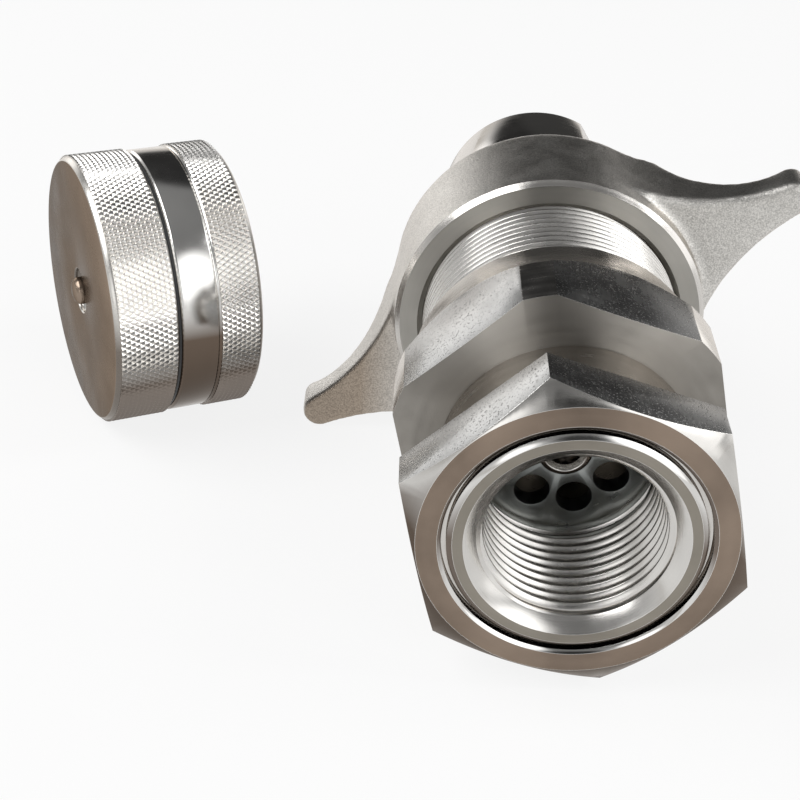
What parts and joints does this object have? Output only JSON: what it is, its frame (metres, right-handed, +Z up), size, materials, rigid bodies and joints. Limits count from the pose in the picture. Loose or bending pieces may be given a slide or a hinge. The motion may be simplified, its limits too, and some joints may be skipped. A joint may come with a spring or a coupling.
{
  "type": "hydraulic quick coupler",
  "caption": "Screw-to-connect stainless hydraulic quick coupler with a wing nut, hexagon ends, shut-off valves, and a knurled dust cap and plug screwed together beside it.",
  "frame": {"origin": "on the coupler's axis, where the front port's thread begins, 2.2 mm inside its front face", "axes": "-Y out of the front port along the coupler's axis, +Y towards the rear port, +Z up from what the coupler lies on, +X to the right of a viewer who looks into the front port"},
  "size_m": [0.1595, 0.14, 0.0632],
  "materials": {
    "stainless_turned": "turned and milled stainless steel, satin with dark and bright reflections",
    "stainless_polished": "finely turned, near mirror",
    "stainless_dull": "fine machined, grey-green",
    "stainless_cast": "blasted investment casting, warm grey grain",
    "stainless_knurled": "diamond knurl, bright points, turned end faces",
    "spring_steel": "drawn wire",
    "black_rubber": "smooth moulded rubber",
    "white_ptfe": "matt white"
  },
  "bodies": {
    "female_half": {"female_body": "stainless_polished", "female_nose": "stainless_polished", "nut_retaining_ring": "spring_steel", "bridge_retaining_ring": "spring_steel", "stem_bridge": "stainless_dull", "fixed_valve_stem": "stainless_polished", "stem_seal": "black_rubber", "packing_o_ring": "black_rubber", "backup_ring": "white_ptfe", "sleeve_spring": "spring_steel"},
    "wing_nut": {"wing_nut": "stainless_cast"},
    "valve_sleeve": {"valve_sleeve": "stainless_polished"},
    "male_half": {"male_body": "stainless_turned", "front_port_adapter": "stainless_turned", "front_adapter_o_ring": "black_rubber", "valve_guide": "stainless_dull", "guide_bush": "stainless_polished", "poppet_spring": "spring_steel"},
    "poppet": {"poppet": "stainless_polished", "poppet_seal": "black_rubber"},
    "dust_cap": {"dust_cap": "stainless_knurled", "dust_cap_stud": "stainless_polished", "dust_cap_gasket": "black_rubber"},
    "dust_plug_stud": {"dust_plug_stud": "stainless_polished"},
    "dust_plug": {"dust_plug": "stainless_knurled", "dust_plug_o_ring": "black_rubber"}
  },
  "joints": [
    {"name": "wing_nut_turn", "type": "hinge", "parent": "female_half", "child": "wing_nut", "pos_m": [0, 0.0878, 0], "axis": [0, -1, 0], "range_deg": [0, 2160]},
    {"name": "sleeve_slide", "type": "slide", "parent": "female_half", "child": "valve_sleeve", "axis": [0, 1, 0], "range_m": [0, 0.012], "deforming": ["sleeve_spring"]},
    {"name": "male_half_pull_off", "type": "slide", "parent": "valve_sleeve", "child": "male_half", "axis": [0, -1, 0], "range_m": [0, 0.07]},
    {"name": "poppet_lift", "type": "slide", "parent": "male_half", "child": "poppet", "axis": [0, -1, 0], "range_m": [0, 0.012], "deforming": ["poppet_spring"]},
    {"name": "dust_pair_slide_aside", "type": "slide", "parent": "female_half", "child": "dust_cap", "axis": [-1, 0, 0], "range_m": [0, 0.05]},
    {"name": "dust_plug_travel", "type": "slide", "parent": "dust_cap", "child": "dust_plug_stud", "axis": [-0.9052, -0.425, 0], "range_m": [0, 0.012]},
    {"name": "dust_plug_turn", "type": "hinge", "parent": "dust_plug_stud", "child": "dust_plug", "pos_m": [-0.09775, 0.08265, -0.0034], "axis": [-0.9052, -0.425, 0], "range_deg": [0, 2160]}
  ],
  "couplings": [
    {"joint": "sleeve_slide", "follows": "wing_nut_turn", "m_per_rad": 0.00031831},
    {"joint": "poppet_lift", "follows": "wing_nut_turn", "m_per_rad": 0.00031831},
    {"joint": "dust_plug_travel", "follows": "dust_plug_turn", "m_per_rad": 0.00031831}
  ]
}
